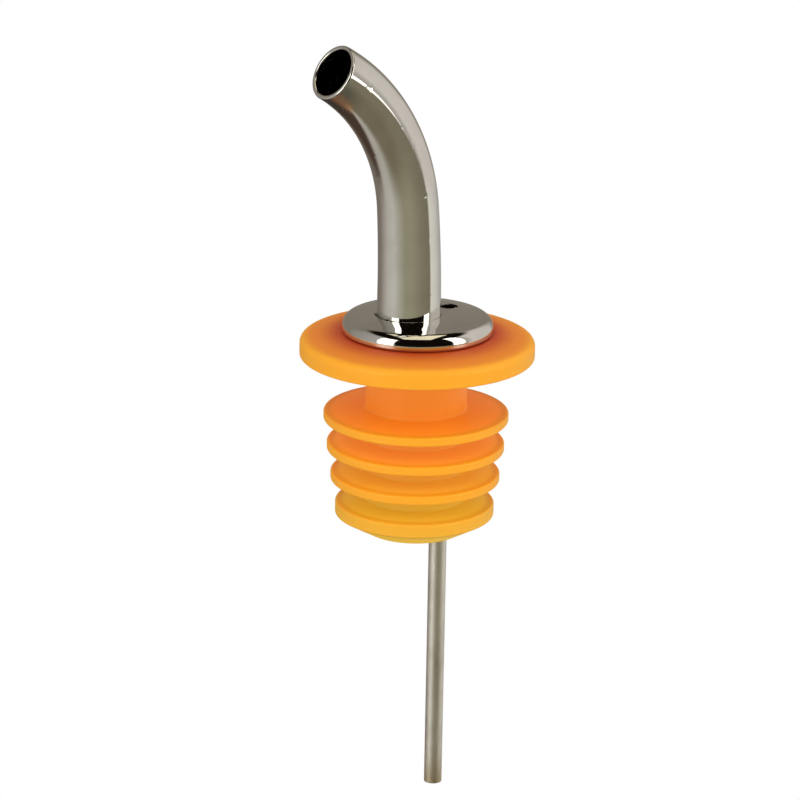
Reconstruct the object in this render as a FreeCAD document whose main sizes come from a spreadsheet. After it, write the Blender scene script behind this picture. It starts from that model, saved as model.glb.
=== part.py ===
import FreeCAD, Part
import math
import os

import Sketcher

# Liquor pour spout: a bent chromed pouring tube, its collar, barrel and breather tube, soldered
# and crimped together and pushed into a finned plastic bottle stopper, in which they turn.
#
# Frame: millimetres, +Z up the stopper's axis towards the spout. The origin is the centre of the
# flange's underside, the face that rests on the bottle's rim. The spout points towards -X and the
# breather runs on the +X side.

DIMENSIONS = {
    # Stopper: one plastic moulding with a flange, a neck and four fins that fit the bottle.
    "flange_radius": 16.1,
    "flange_side": 2.55,
    "flange_top_round": 0.95,
    "flange_under_round": 0.35,
    "seat_height": 3.45,
    "seat_radius": 10.7,
    "neck_radius": 6.95,
    "neck_round": 0.5,
    "bore_radius": 5.86,
    "bore_mouth_round": 2.35,
    "fin_radius_first": 12.72,
    "fin_radius_second": 12.22,
    "fin_radius_third": 11.67,
    "fin_radius_fourth": 10.97,
    "fin_top_first": 7.8,
    "fin_pitch": 4.33,
    "fin_land": 1.24,
    "fin_land_last": 1.75,
    "fin_rise": 0.55,
    "fin_round": 0.32,
    "nose_radius": 6.75,
    "nose_depth": 24.9,
    "nose_round": 0.45,
    # Collar: a cap pressed from sheet, with its rim turned under the barrel's brim.
    "sheet": 0.45,
    "collar_radius": 10.35,
    "collar_base": 3.5,
    "collar_top": 6.2,
    "crown_flat_radius": 6.9,
    "crown_drop": 0.7,
    "shoulder_round": 1.5,
    "rim_round": 0.35,
    "lip_radius": 8.9,
    "vent_hole_radius": 1.0,
    "vent_hole_reach": 5.1,
    # Barrel: the drawn ferrule that lines the stopper's bore.
    "barrel_radius": 5.8,
    "barrel_wall": 0.35,
    "barrel_depth": 24.0,
    "brim_radius": 9.8,
    "brim_lift": 0.03,
    "brim_bend": 2.25,
    # Pouring tube: it tapers evenly from foot to mouth and bends in the XZ plane.
    "spout_reach": 1.52,
    "spout_foot_radius": 4.39,
    "spout_mouth_radius": 3.88,
    "spout_wall": 0.6,
    "spout_foot_height": 5.05,
    "spout_straight_top": 8.7,
    "easy_bend_radius": 170.0,
    "easy_bend_angle": 4.15,
    "tight_bend_radius": 25.8,
    "tight_bend_angle": 55.35,
    "mouth_round": 0.2,
    "spout_hole_gap": 0.03,
    # Breather tube: it jogs in from the vent hole to run down inside the barrel.
    "vent_radius": 1.25,
    "vent_wall": 0.3,
    "vent_reach": 4.15,
    "vent_jog_radius": 3.6,
    "vent_top_straight": 0.1,
    "vent_depth": 63.8,
    # Solder that joins the metal pieces: two fillets under the crown and a tack in the barrel.
    "spout_fillet": 0.5,
    "vent_fillet": 0.4,
    "tack_depth": 21.0,
    "tack_height": 3.0,
    "tack_width": 1.5,
    "tack_overlap": 0.6,
}

SHEET_NAME = "Dimensions"
TOLERANCE = 1e-4
HALF = 0.5
PARTS_FOLDER = "parts"


class Length:
    """A size in millimetres together with the sheet expression that gives it."""

    def __init__(self, value, text):
        self.value = value
        self.text = text

    def __add__(self, other):
        other = as_length(other)
        return Length(self.value + other.value, f"({self.text} + {other.text})")

    def __sub__(self, other):
        other = as_length(other)
        return Length(self.value - other.value, f"({self.text} - {other.text})")

    def __mul__(self, factor):
        return Length(self.value * factor, f"({self.text} * {factor})")

    def __neg__(self):
        return self * -1


def as_length(number):
    """Return a Length as it is, or make one from a plain number."""
    if isinstance(number, Length):
        return number
    return Length(float(number), str(number))


def size(name):
    """Return the driving dimension of that name."""
    return Length(DIMENSIONS[name], f"{SHEET_NAME}.{name}")


ZERO = as_length(0)


def make_sheet(doc):
    """Write the driving dimensions into a spreadsheet, one aliased cell each."""
    sheet = doc.addObject("Spreadsheet::Sheet", SHEET_NAME)
    for row, (name, value) in enumerate(DIMENSIONS.items(), start=1):
        sheet.set(f"A{row}", name)
        sheet.set(f"B{row}", str(value))
        sheet.setAlias(f"B{row}", name)
    doc.recompute()


# ---------------------------------------------------------------- sketches


def add_body(doc, label):
    """Add an empty body that carries one sub-part's label."""
    body = doc.addObject("PartDesign::Body", label.title().replace("_", ""))
    body.Label = label
    return body


def add_sketch(body, name, plane="XZ_Plane"):
    """Add a sketch on one of the body's own origin planes."""
    sketch = body.newObject("Sketcher::SketchObject", name)
    for feature in body.Origin.OriginFeatures:
        if feature.Role == plane:
            sketch.AttachmentSupport = (feature, [""])
    sketch.MapMode = "FlatFace"
    return sketch


def constrain(sketch, kind, *where, length=None):
    """Add a constraint, and bind its value to the sheet where it has one."""
    if length is None:
        return sketch.addConstraint(Sketcher.Constraint(kind, *where))
    in_degrees = kind == "Angle"
    value = math.radians(length.value) if in_degrees else length.value
    index = sketch.addConstraint(Sketcher.Constraint(kind, *where, value))
    text = f"{length.text} * 1 deg" if in_degrees else length.text
    sketch.setExpression(f"Constraints[{index}]", text)
    return index


def hold_point(sketch, curve, end, across, up):
    """Hold one end of a curve at a place measured from the sketch's origin."""
    if across.value == 0:
        constrain(sketch, "PointOnObject", curve, end, -2)
    else:
        constrain(sketch, "DistanceX", -1, 1, curve, end, length=across)
    if up.value == 0:
        constrain(sketch, "PointOnObject", curve, end, -1)
    else:
        constrain(sketch, "DistanceY", -1, 1, curve, end, length=up)


def draw_outline(sketch, corners):
    """Close straight lines through the corners, each held by its two coordinates."""
    points = [FreeCAD.Vector(across.value, up.value, 0) for across, up in corners]
    following = points[1:] + points[:1]
    for start, finish in zip(points, following):
        sketch.addGeometry(Part.LineSegment(start, finish), False)
    for index in range(len(points)):
        constrain(sketch, "Coincident", index, 2, (index + 1) % len(points), 1)
    for index, (across, up) in enumerate(corners):
        hold_point(sketch, index, 1, across, up)


def draw_ring(sketch, across, radius, wall):
    """Draw two circles on the sketch's X axis, the section of a tube."""
    centre = FreeCAD.Vector(across.value, 0, 0)
    for ring_radius in (radius, radius - wall):
        circle = Part.Circle(centre, FreeCAD.Vector(0, 0, 1), ring_radius.value)
        index = sketch.addGeometry(circle, False)
        constrain(sketch, "Radius", index, length=ring_radius)
        hold_point(sketch, index, 3, across, ZERO)


class Pen:
    """Draws a path of straight runs and arcs in a sketch, each tangent to the one before it."""

    def __init__(self, sketch, across, up, heading):
        self.sketch = sketch
        self.place = FreeCAD.Vector(across.value, up.value, 0)
        self.heading = heading
        self.path_end = None

    def _join(self, curve, near, far):
        """Tie a new curve's near end to the path and make its far end the path's end."""
        if self.path_end:
            constrain(self.sketch, "Tangent", *self.path_end, curve, near)
        self.path_end = (curve, far)

    def run(self, distance):
        """Go straight on for a distance."""
        finish = self.place + direction(self.heading) * distance.value
        curve = self.sketch.addGeometry(Part.LineSegment(self.place, finish), False)
        self._join(curve, 1, 2)
        self.place = finish
        return curve

    def run_down_to(self, height):
        """Go straight down until the path reaches a height."""
        return self.run(as_length(self.place.y) - height)

    def bend(self, radius, turn):
        """Turn through an angle in radians, to the left where it is positive."""
        side = math.copysign(1.0, turn)
        to_centre = self.heading + side * math.pi / 2
        centre = self.place + direction(to_centre) * radius.value
        start = to_centre + math.pi
        finish = start + turn
        circle = Part.Circle(centre, FreeCAD.Vector(0, 0, 1), radius.value)
        arc = Part.ArcOfCircle(circle, min(start, finish), max(start, finish))
        curve = self.sketch.addGeometry(arc, False)
        near, far = (1, 2) if turn > 0 else (2, 1)
        self._join(curve, near, far)
        constrain(self.sketch, "Radius", curve, length=radius)
        self.heading += turn
        self.place = centre + direction(finish) * radius.value
        return curve


def direction(angle):
    """Return the unit vector at an angle from the sketch's X axis."""
    return FreeCAD.Vector(math.cos(angle), math.sin(angle), 0)


# ---------------------------------------------------------------- features


def revolve(body, name, corners):
    """Turn a closed outline about the Z axis."""
    sketch = add_sketch(body, f"{name}Outline")
    draw_outline(sketch, corners)
    feature = body.newObject("PartDesign::Revolution", name)
    feature.Profile = sketch
    feature.ReferenceAxis = (sketch, ["V_Axis"])
    feature.Angle = 360
    sketch.Visibility = False
    body.Document.recompute()
    return feature


def ring_edges(feature, radius, height):
    """Find the full circles of that radius and height that lie about the Z axis."""
    names = []
    for index, edge in enumerate(feature.Shape.Edges, start=1):
        if not isinstance(edge.Curve, Part.Circle):
            continue
        centre = edge.Curve.Center
        off_axis = abs(centre.x) + abs(centre.y)
        misfit = abs(edge.Curve.Radius - radius.value) + abs(centre.z - height.value)
        if off_axis + misfit < TOLERANCE:
            names.append(f"Edge{index}")
    return names


def round_rings(body, name, base, rings, radius):
    """Round the circular edges given by their radii and heights."""
    edges = []
    for ring_radius, height in rings:
        edges += ring_edges(base, ring_radius, height)
    if len(edges) < len(rings):
        raise RuntimeError(f"{name}: found {len(edges)} of {len(rings)} edges")
    return round_edges(body, name, base, edges, radius)


def round_edges(body, name, base, edges, radius):
    """Round the named edges of a feature."""
    if not edges:
        raise RuntimeError(f"{name}: found no edges")
    fillet = body.newObject("PartDesign::Fillet", name)
    fillet.Base = (base, edges)
    fillet.Radius = radius.value
    fillet.setExpression("Radius", radius.text)
    body.Document.recompute()
    return fillet


def drill_through(body, name, across, radius):
    """Cut a round hole parallel to Z right through the body, centred on the X axis."""
    sketch = add_sketch(body, f"{name}Circle", "XY_Plane")
    circle = Part.Circle(FreeCAD.Vector(across.value, 0, 0), FreeCAD.Vector(0, 0, 1), radius.value)
    sketch.addGeometry(circle, False)
    constrain(sketch, "Radius", 0, length=radius)
    hold_point(sketch, 0, 3, across, ZERO)
    before = body.Shape.Volume
    pocket = body.newObject("PartDesign::Pocket", name)
    pocket.Profile = sketch
    pocket.Type = "ThroughAll"
    pocket.Midplane = True
    sketch.Visibility = False
    body.Document.recompute()
    if pocket.Shape.Volume >= before - TOLERANCE:
        raise RuntimeError(f"{name} cut nothing")
    return pocket


# ---------------------------------------------------------------- sub-parts


def make_stopper(doc):
    """Make the stopper: flange, neck, four fins and nose about one bore."""
    body = add_body(doc, "stopper")
    bore = size("bore_radius")
    neck = size("neck_radius")
    flange = size("flange_radius")
    seat = (size("seat_radius"), size("seat_height"))
    side = (flange, size("flange_side"))
    fourth_top = -(size("fin_top_first") + size("fin_pitch") * 3)
    fourth_foot = fourth_top - size("fin_land_last")
    nose = (size("nose_radius"), -size("nose_depth"))
    core = revolve(body, "Core", [
        (bore, nose[1]),
        nose,
        (size("fin_radius_fourth"), fourth_foot),
        (size("fin_radius_fourth"), fourth_top),
        (neck, fourth_top + size("fin_rise")),
        (neck, ZERO),
        (flange, ZERO),
        side,
        seat,
        (bore, seat[1]),
    ])
    last = core
    rings = []
    for number, name in enumerate(("first", "second", "third")):
        tip = size(f"fin_radius_{name}")
        top = -(size("fin_top_first") + size("fin_pitch") * number)
        foot = top - size("fin_land")
        root = neck - size("fin_rise")
        last = revolve(body, f"Fin{number + 1}", [
            (root, foot),
            (tip, foot),
            (tip, top),
            (neck, top + size("fin_rise")),
            (root, top + size("fin_rise")),
        ])
        rings += [(tip, foot), (tip, top)]
    rings += [(size("fin_radius_fourth"), fourth_foot), (size("fin_radius_fourth"), fourth_top)]
    last = round_rings(body, "FinRounds", last, rings, size("fin_round"))
    last = round_rings(body, "NoseRound", last, [nose], size("nose_round"))
    last = round_rings(body, "FlangeTopRound", last, [side], size("flange_top_round"))
    last = round_rings(body, "FlangeUnderRound", last, [(flange, ZERO)], size("flange_under_round"))
    last = round_rings(body, "NeckRound", last, [(neck, ZERO)], size("neck_round"))
    round_rings(body, "BoreMouthRound", last, [(bore, seat[1])], size("bore_mouth_round"))
    return body


def make_collar(doc):
    """Make the pressed collar, with a hole for the spout and a vent hole opposite."""
    body = add_body(doc, "collar")
    sheet = size("sheet")
    radius = size("collar_radius")
    top = size("collar_top")
    base = size("collar_base")
    flat = size("crown_flat_radius")
    shoulder = top - size("crown_drop")
    inner = radius - sheet
    press = revolve(body, "Pressing", [
        (ZERO, top),
        (flat, top),
        (radius, shoulder),
        (radius, base),
        (size("lip_radius"), base),
        (size("lip_radius"), base + sheet),
        (inner, base + sheet),
        (inner, shoulder - sheet),
        (flat, top - sheet),
        (ZERO, top - sheet),
    ])
    last = round_rings(body, "ShoulderRound", press, [(radius, shoulder)], size("shoulder_round"))
    inside = size("shoulder_round") - sheet
    last = round_rings(body, "InnerRound", last, [(inner, shoulder - sheet)], inside)
    round_rings(body, "RimRound", last, [(radius, base)], size("rim_round"))
    spout_hole = size("spout_foot_radius") + size("spout_hole_gap")
    drill_through(body, "SpoutHole", -size("spout_reach"), spout_hole)
    drill_through(body, "VentHole", size("vent_hole_reach"), size("vent_hole_radius"))
    return body


def make_barrel(doc):
    """Make the barrel, whose brim is caught in the collar's turned rim."""
    body = add_body(doc, "barrel")
    outside = size("barrel_radius")
    inside = outside - size("barrel_wall")
    under = size("collar_base") + size("sheet") + size("brim_lift")
    top = under + size("barrel_wall")
    foot = -size("barrel_depth")
    drawn = revolve(body, "Drawing", [
        (inside, foot),
        (outside, foot),
        (outside, under),
        (size("brim_radius"), under),
        (size("brim_radius"), top),
        (inside, top),
    ])
    last = round_rings(body, "OuterBend", drawn, [(outside, under)], size("brim_bend"))
    inner_bend = size("brim_bend") + size("barrel_wall")
    round_rings(body, "InnerBend", last, [(inside, top)], inner_bend)
    return body


def sweep_tube(body, name, path, rings, curves):
    """Sweep a tube's rings along the first curves of a path."""
    sweep = body.newObject("PartDesign::AdditivePipe", name)
    sweep.Profile = rings[0]
    sweep.Spine = (path, [f"Edge{curve + 1}" for curve in range(curves)])
    if len(rings) > 1:
        sweep.Sections = [(ring, [""]) for ring in rings[1:]]
        sweep.Transformation = "Multisection"
    for sketch in [path, *rings]:
        sketch.Visibility = False
    body.Document.recompute()
    return sweep


def make_spout_tube(doc):
    """Make the pouring tube: a straight foot, an easy bend and a tight one, tapering throughout."""
    body = add_body(doc, "spout_tube")
    reach = -size("spout_reach")
    foot = size("spout_foot_height")
    straight_top = size("spout_straight_top")
    path = add_sketch(body, "SpoutPath")
    pen = Pen(path, reach, foot, math.pi / 2)
    straight = pen.run(straight_top - foot)
    hold_point(path, straight, 1, reach, foot)
    hold_point(path, straight, 2, reach, straight_top)
    for bend in ("easy_bend", "tight_bend"):
        angle = size(f"{bend}_angle")
        curve = pen.bend(size(f"{bend}_radius"), math.radians(angle.value))
        constrain(path, "Angle", curve, length=angle)
    doc.recompute()

    foot_ring = add_sketch(body, "FootRing", "XY_Plane")
    foot_ring.setExpression(".AttachmentOffset.Base.z", foot.text)
    draw_ring(foot_ring, reach, size("spout_foot_radius"), size("spout_wall"))
    mouth_ring = body.newObject("Sketcher::SketchObject", "MouthRing")
    mouth_ring.AttachmentSupport = (path, [f"Edge{curve + 1}"])
    mouth_ring.MapMode = "NormalToEdge"
    mouth_ring.MapPathParameter = 1.0
    draw_ring(mouth_ring, ZERO, size("spout_mouth_radius"), size("spout_wall"))
    doc.recompute()

    sweep = sweep_tube(body, "TaperedSweep", path, [foot_ring, mouth_ring], curve + 1)
    mouth = mouth_ring.Placement.Base
    reach_of_mouth = size("spout_mouth_radius").value + TOLERANCE
    edges = []
    for index, edge in enumerate(sweep.Shape.Edges, start=1):
        if all(point.distanceToPoint(mouth) < reach_of_mouth for point in edge.discretize(5)):
            edges.append(f"Edge{index}")
    round_edges(body, "MouthRound", sweep, edges, size("mouth_round"))
    return body


def make_vent_tube(doc):
    """Make the breather tube, which jogs in just under the vent hole and then hangs straight."""
    body = add_body(doc, "vent_tube")
    top = size("collar_top") - size("sheet")
    top_reach = size("vent_hole_reach")
    reach = size("vent_reach")
    radius = size("vent_jog_radius")
    foot = -size("vent_depth")
    turn = math.acos(1 - (top_reach - reach).value / (2 * radius.value))
    path = add_sketch(body, "VentPath")
    pen = Pen(path, top_reach, top, -math.pi / 2)
    entry = pen.run(size("vent_top_straight"))
    hold_point(path, entry, 1, top_reach, top)
    hold_point(path, entry, 2, top_reach, top - size("vent_top_straight"))
    pen.bend(radius, -turn)
    pen.bend(radius, turn)
    tail = pen.run_down_to(foot)
    constrain(path, "Vertical", tail)
    hold_point(path, tail, 2, reach, foot)
    doc.recompute()

    ring = add_sketch(body, "VentRing", "XY_Plane")
    ring.setExpression(".AttachmentOffset.Base.z", top.text)
    draw_ring(ring, top_reach, size("vent_radius"), size("vent_wall"))
    doc.recompute()
    sweep_tube(body, "VentSweep", path, [ring], tail + 1)
    return body


def make_fillet_ring(doc, label, across, tube_radius, leg):
    """Make a ring of solder in the corner between an upright tube and the crown's underside."""
    body = add_body(doc, label)
    under = size("collar_top") - size("sheet")
    revolve(body, "Ring", [
        (tube_radius, under - leg),
        (tube_radius + leg, under),
        (tube_radius, under),
    ])
    body.Placement = FreeCAD.Placement(FreeCAD.Vector(across.value, 0, 0), FreeCAD.Rotation())
    body.setExpression(".Placement.Base.x", across.text)
    return body


def make_spout_solder(doc):
    """Make the ring of solder round the spout's foot."""
    radius = size("spout_foot_radius")
    return make_fillet_ring(doc, "spout_solder", -size("spout_reach"), radius, size("spout_fillet"))


def make_vent_solder(doc):
    """Make the ring of solder round the breather's top end."""
    radius = size("vent_radius")
    return make_fillet_ring(doc, "vent_solder", size("vent_hole_reach"), radius, size("vent_fillet"))


def add_upright(doc, name, across, radius, foot, height):
    """Add a solid cylinder that stands on the X axis."""
    rod = doc.addObject("Part::Cylinder", name)
    rod.setExpression("Radius", radius.text)
    rod.setExpression("Height", height.text)
    rod.setExpression(".Placement.Base.x", across.text)
    rod.setExpression(".Placement.Base.z", foot.text)
    return rod


def make_barrel_solder(doc):
    """Make the tack between the breather tube and the barrel's wall."""
    foot = -size("tack_depth")
    height = size("tack_height")
    width = size("tack_width")
    inside = size("barrel_radius") - size("barrel_wall")
    block = doc.addObject("Part::Box", "TackBlock")
    block.setExpression("Length", (size("vent_radius") * 2).text)
    block.setExpression("Width", width.text)
    block.setExpression("Height", height.text)
    block.setExpression(".Placement.Base.x", (size("vent_reach") + size("tack_overlap")).text)
    block.setExpression(".Placement.Base.y", (width * -HALF).text)
    block.setExpression(".Placement.Base.z", foot.text)
    within = doc.addObject("Part::Common", "WithinBarrel")
    within.Base = block
    within.Tool = add_upright(doc, "BarrelBore", ZERO, inside, foot, height)
    tack = doc.addObject("Part::Cut", "BarrelSolder")
    tack.Base = within
    tack.Tool = add_upright(doc, "BreatherInTack", size("vent_reach"), size("vent_radius"), foot, height)
    tack.Label = "barrel_solder"
    return tack


def main():
    """Build the document, check it and write one file for each sub-part."""
    doc = FreeCAD.newDocument("PourSpout")
    make_sheet(doc)
    makers = (
        make_stopper,
        make_collar,
        make_barrel,
        make_spout_tube,
        make_vent_tube,
        make_spout_solder,
        make_vent_solder,
        make_barrel_solder,
    )
    sub_parts = [maker(doc) for maker in makers]
    doc.recompute()
    for item in doc.Objects:
        if "Invalid" in item.State or "Error" in item.State:
            raise RuntimeError(f"{item.Label} failed: {item.State}")
    os.makedirs(PARTS_FOLDER, exist_ok=True)
    for item in sub_parts:
        if item.Shape.isNull() or not item.Shape.isValid():
            raise RuntimeError(f"{item.Label} has no valid shape")
        item.Shape.exportStep(os.path.join(PARTS_FOLDER, f"{item.Label}.step"))
        box = item.Shape.BoundBox
        print(f"{item.Label}: {item.Shape.Volume:.1f} mm3, {len(item.Shape.Solids)} solid, "
              f"x {box.XMin:.2f} {box.XMax:.2f}, y {box.YMin:.2f} {box.YMax:.2f}, "
              f"z {box.ZMin:.2f} {box.ZMax:.2f}")


main()
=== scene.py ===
"""Liquor pour spout: a chromed tube and collar that turn in a finned orange bottle stopper."""

import logging
import math
from dataclasses import dataclass, field
from enum import Enum

import bmesh
import bpy
from mathutils import Matrix, Vector


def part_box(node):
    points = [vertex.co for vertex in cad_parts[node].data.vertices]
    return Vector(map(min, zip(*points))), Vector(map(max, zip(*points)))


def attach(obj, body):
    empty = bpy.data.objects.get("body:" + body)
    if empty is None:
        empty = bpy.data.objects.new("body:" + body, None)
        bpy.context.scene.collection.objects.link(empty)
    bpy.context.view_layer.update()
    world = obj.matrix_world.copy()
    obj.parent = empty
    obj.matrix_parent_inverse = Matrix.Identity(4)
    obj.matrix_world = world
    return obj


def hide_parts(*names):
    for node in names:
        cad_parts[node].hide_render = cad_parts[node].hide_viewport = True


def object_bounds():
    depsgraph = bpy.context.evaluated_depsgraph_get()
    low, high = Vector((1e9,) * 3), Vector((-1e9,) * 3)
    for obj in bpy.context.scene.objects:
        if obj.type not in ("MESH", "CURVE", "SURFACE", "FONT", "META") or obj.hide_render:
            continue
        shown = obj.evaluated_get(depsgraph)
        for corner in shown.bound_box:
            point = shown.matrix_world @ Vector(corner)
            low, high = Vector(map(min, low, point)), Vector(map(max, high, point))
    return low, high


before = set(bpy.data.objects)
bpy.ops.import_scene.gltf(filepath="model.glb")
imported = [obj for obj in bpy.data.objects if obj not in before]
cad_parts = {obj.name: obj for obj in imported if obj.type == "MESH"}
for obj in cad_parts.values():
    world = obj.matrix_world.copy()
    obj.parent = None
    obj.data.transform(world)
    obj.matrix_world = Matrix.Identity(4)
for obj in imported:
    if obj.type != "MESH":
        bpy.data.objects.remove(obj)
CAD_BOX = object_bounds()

LOG = logging.getLogger("pour_spout")

MM = 0.001
PER_MM = 1000.0
MERGE_DISTANCE = 1e-7
ROUND_STEPS = 5
LEAST_ARC_STEPS = 4
ARC_STEP = math.radians(11)
RUN_HOLD = 0.06
NO_LENGTH = 1e-6
RIM = "rim"

Colour = tuple[float, float, float]
Point2 = tuple[float, float]
Span = tuple[float, float]


class Rider(Enum):
    """The two bodies that pieces ride on."""

    STOPPER = "stopper_body"
    POURER = "pourer"


class Slot(Enum):
    """The record's material slots."""

    PLASTIC = "stopper_plastic"
    CHROME = "bright_chrome"
    BARREL = "plated_barrel"
    TUBE = "dull_tube"
    SOLDER = "solder"


# ---------------------------------------------------------------- node graphs


class Wire:
    """A value in a node tree that ordinary arithmetic can be written on."""

    def __init__(self, graph: "Graph", node: bpy.types.Node, socket: bpy.types.NodeSocket) -> None:
        """Wrap one output socket of a node.

        Args:
            graph: The tree that the node is in.
            node: The node.
            socket: Its output.
        """
        self.graph = graph
        self.node = node
        self.socket = socket

    def pick(self, output: str) -> "Wire":
        """Return another output of the same node."""
        return Wire(self.graph, self.node, self.node.outputs[output])

    def _math(self, operation: str, first: "Wire | float", second: "Wire | float") -> "Wire":
        """Add a Math node that works on two values."""
        return self.graph.node("ShaderNodeMath", {"operation": operation}, {0: first, 1: second})

    def __add__(self, other: "Wire | float") -> "Wire":
        """Return self + other."""
        return self._math("ADD", self, other)

    __radd__ = __add__

    def __sub__(self, other: "Wire | float") -> "Wire":
        """Return self - other."""
        return self._math("SUBTRACT", self, other)

    def __rsub__(self, other: "Wire | float") -> "Wire":
        """Return other - self."""
        return self._math("SUBTRACT", other, self)

    def __mul__(self, other: "Wire | float") -> "Wire":
        """Return self * other."""
        return self._math("MULTIPLY", self, other)

    __rmul__ = __mul__

    def __truediv__(self, other: "Wire | float") -> "Wire":
        """Return self / other."""
        return self._math("DIVIDE", self, other)

    def __pow__(self, other: "Wire | float") -> "Wire":
        """Return self ** other."""
        return self._math("POWER", self, other)


class Graph:
    """A shader, world or geometry node tree and the ways to add to it."""

    def __init__(self, tree: bpy.types.NodeTree) -> None:
        """Start from an empty tree."""
        self.tree = tree
        tree.nodes.clear()

    def node(
        self,
        kind: str,
        settings: dict[str, object] | None = None,
        values: dict[int | str, object] | None = None,
        output: int | str = 0,
    ) -> Wire:
        """Add a node.

        Args:
            kind: The node's type.
            settings: Its properties, or the stops of its ramp, which are set first.
            values: A value or a wire for each socket named or numbered.
            output: The output that the result stands for.

        Returns:
            The chosen output as a wire.
        """
        made = self.tree.nodes.new(kind)
        for name, value in (settings or {}).items():
            if name == "stops":
                self._set_stops(made.color_ramp, value)
            else:
                setattr(made, name, value)
        for key, value in (values or {}).items():
            if isinstance(value, Wire):
                self.tree.links.new(made.inputs[key], value.socket)
            else:
                made.inputs[key].default_value = value
        socket = made.outputs[output] if len(made.outputs) else None
        return Wire(self, made, socket)

    @staticmethod
    def _set_stops(ramp: bpy.types.ColorRamp, stops: list[tuple[float, Colour]]) -> None:
        """Give a ramp its stops.

        Args:
            ramp: The ramp.
            stops: A place from 0 to 1 and a colour for each stop, from left to right.
        """
        while len(ramp.elements) < len(stops):
            ramp.elements.new(1.0)
        for element, (place, colour) in zip(ramp.elements, stops):
            element.position = place
            element.color = (*colour, 1.0)

    def ramp(self, value: Wire, low: float, high: float, stops: list[tuple[float, Colour]]) -> Wire:
        """Colour a value through stops placed on the value's own scale.

        Args:
            value: The value.
            low: The value at the ramp's left end.
            high: The value at its right end.
            stops: A value and a colour for each stop, from left to right.

        Returns:
            The colour.
        """
        placed = [((place - low) / (high - low), colour) for place, colour in stops]
        share = (value - low) / (high - low)
        return self.node("ShaderNodeValToRGB", {"stops": placed}, {0: share})

    def mix(self, first: "Wire | Colour", second: "Wire | Colour", share: Wire | float) -> Wire:
        """Blend two colours.

        Args:
            first: The colour where the share is 0.
            second: The colour where the share is 1.
            share: How much of the second colour there is.

        Returns:
            The blended colour.
        """
        ends = [end if isinstance(end, Wire) else (*end, 1.0) for end in (first, second)]
        values = {0: share, 6: ends[0], 7: ends[1]}
        return self.node("ShaderNodeMix", {"data_type": "RGBA"}, values, output=2)

    def step(self, value: Wire, low: float, high: float) -> Wire:
        """Rise smoothly from 0 to 1.

        Args:
            value: The value that the rise follows.
            low: Where it is 0.
            high: Where it is 1, which may be below low.

        Returns:
            The rise.
        """
        return self.node(
            "ShaderNodeMapRange",
            {"interpolation_type": "SMOOTHSTEP"},
            {"Value": value, "From Min": low, "From Max": high},
        )

    def band(self, value: Wire, low: float, high: float, edge: float) -> Wire:
        """Stand at 1 between two values and at 0 beyond them.

        Args:
            value: The value that the band follows.
            low: The middle of its lower edge.
            high: The middle of its upper edge.
            edge: The width of both edges.

        Returns:
            The band.
        """
        rise = self.step(value, low - edge / 2, low + edge / 2)
        fall = self.step(value, high + edge / 2, high - edge / 2)
        return rise * fall

    def noise(self, place: Wire, size_mm: float, detail: float = 2.0, rough: float = 0.5) -> Wire:
        """Add a soft random pattern.

        Args:
            place: Where on the piece it is read.
            size_mm: The size of its largest features.
            detail: How many finer layers it has.
            rough: How strong those are.

        Returns:
            The pattern, from 0 to 1.
        """
        values = {"Vector": place, "Scale": PER_MM / size_mm, "Detail": detail, "Roughness": rough}
        return self.node("ShaderNodeTexNoise", None, values)

    def split(self, vector: Wire) -> tuple[Wire, Wire, Wire]:
        """Return a vector's three parts."""
        parts = self.node("ShaderNodeSeparateXYZ", None, {0: vector})
        return parts.pick("X"), parts.pick("Y"), parts.pick("Z")

    def stretched(self, place: Wire, scale: Colour) -> Wire:
        """Scale a place's three parts, so that a pattern on it is drawn out."""
        return self.node("ShaderNodeMapping", None, {"Vector": place, "Scale": scale})

    def bump(self, height: Wire, depth_mm: float) -> Wire:
        """Return the normal of a surface that rises by height times a depth."""
        return self.node("ShaderNodeBump", None, {"Height": height, "Distance": depth_mm * MM})


# ---------------------------------------------------------------- finishes


class Finish:
    """A finish that can be put on pieces; each kind of finish draws its own shader."""

    name: str

    def __init_subclass__(cls) -> None:
        """Keep one material for each kind of finish."""
        cls._made = None

    def material(self) -> bpy.types.Material:
        """Make the finish's material when it is first asked for.

        Returns:
            The material, the same one each time.
        """
        cls = type(self)
        if cls._made is None:
            cls._made = bpy.data.materials.new(self.name)
            cls._made.use_nodes = True
            graph = Graph(cls._made.node_tree)
            place = graph.node("ShaderNodeTexCoord", output="Object")
            shader = self.shade(graph, place)
            graph.node("ShaderNodeOutputMaterial", None, {"Surface": shader})
        return cls._made

    def shade(self, graph: Graph, place: Wire) -> Wire:
        """Draw the finish's shader.

        Args:
            graph: The material's node tree.
            place: The place on the piece, in Object coordinates.

        Returns:
            The shader.
        """
        raise NotImplementedError


@dataclass(frozen=True)
class Hole:
    """A round hole through the collar's crown, centred on the X axis, in millimetres."""

    across: float
    radius: float
    rounding: float
    segments: int
    margin: float = 0.25


VENT_HOLE = Hole(across=5.1, radius=1.0, rounding=0.1, segments=64)


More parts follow.
